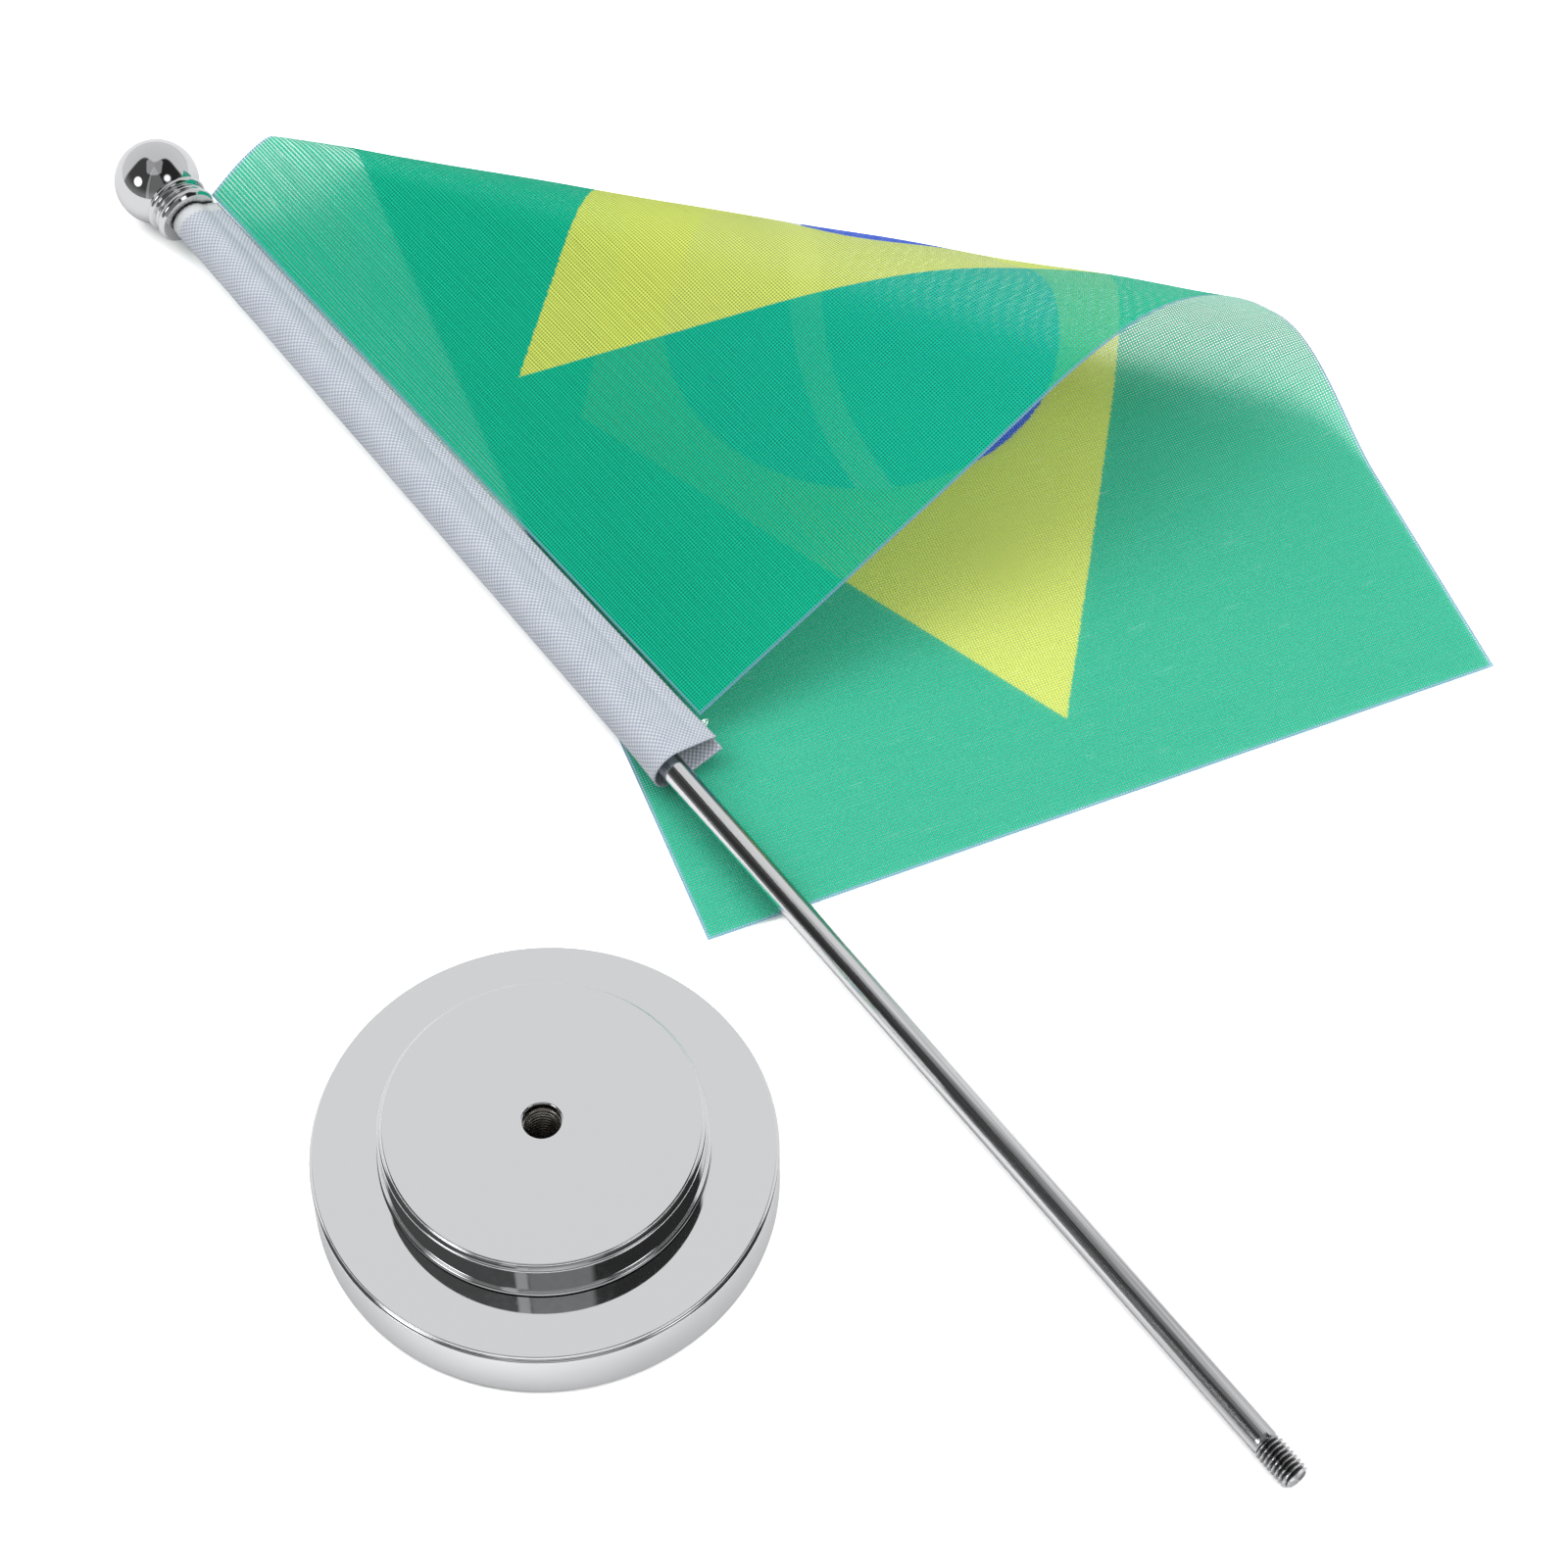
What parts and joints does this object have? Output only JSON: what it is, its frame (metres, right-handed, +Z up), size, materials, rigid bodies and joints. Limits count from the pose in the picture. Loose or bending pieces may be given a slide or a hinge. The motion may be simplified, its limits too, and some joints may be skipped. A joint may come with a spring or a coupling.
{
  "type": "desk flag stand",
  "caption": "Small printed flag on a threaded pole with a ball finial, lying beside the two-step round chrome base it screws into.",
  "frame": {"origin": "centre of the underside of the base, on the table", "axes": "+Z up, along the threaded hole in the base; +X to the right past the lying pole's tip; +Y away, towards the lying finial"},
  "size_m": [0.2328, 0.2553, 0.0389],
  "materials": {
    "chrome_plate": "mirror-bright chrome plate",
    "polished_steel": "polished lengthwise",
    "brass": "turned",
    "zinc_screw": "zinc plated",
    "black_felt": "felt",
    "white_cloth": "white woven polyester",
    "white_thread": "sewing thread",
    "printed_cloth": "thin printed polyester, green with a yellow lozenge and a blue disc"
  },
  "bodies": {
    "stand": {"base_pad": "black_felt", "base_disc": "chrome_plate", "hub_disc": "chrome_plate", "thread_bush": "brass", "hub_screw_1": "zinc_screw", "hub_screw_2": "zinc_screw", "hub_screw_3": "zinc_screw"},
    "ball": {"finial_ball": "chrome_plate"},
    "flag": {"flag_sleeve": "white_cloth", "sleeve_stitching": "white_thread", "flag_cloth": "printed_cloth"},
    "collar": {"finial_collar": "chrome_plate"},
    "pole": {"pole": "polished_steel"}
  },
  "joints": [
    {"name": "pole_lift", "type": "hinge", "parent": "stand", "child": "ball", "pos_m": [-0.04696, 0.08976, 0.16433], "axis": [0.5442, -0.6546, -0.5248], "range_deg": [0, 172.5]},
    {"name": "pole_upright", "type": "hinge", "parent": "ball", "child": "flag", "pos_m": [-0.07364, 0.19339, 0.0074], "axis": [-0.7906, -0.5938, -0.1496], "range_deg": [0, 27.57]},
    {"name": "pole_turn", "type": "hinge", "parent": "flag", "child": "collar", "pos_m": [0.1101, -0.05, 0.0024], "axis": [0.6024, -0.798, -0.0164], "range_deg": [0, 3600]},
    {"name": "pole_seat", "type": "slide", "parent": "collar", "child": "pole", "axis": [0.6024, -0.798, -0.0164], "range_m": [0, 0.008]}
  ],
  "couplings": [
    {"joint": "pole_upright", "follows": "pole_lift", "ratio": 0.15983},
    {"joint": "pole_turn", "follows": "pole_seat", "rad_per_m": 7854}
  ]
}
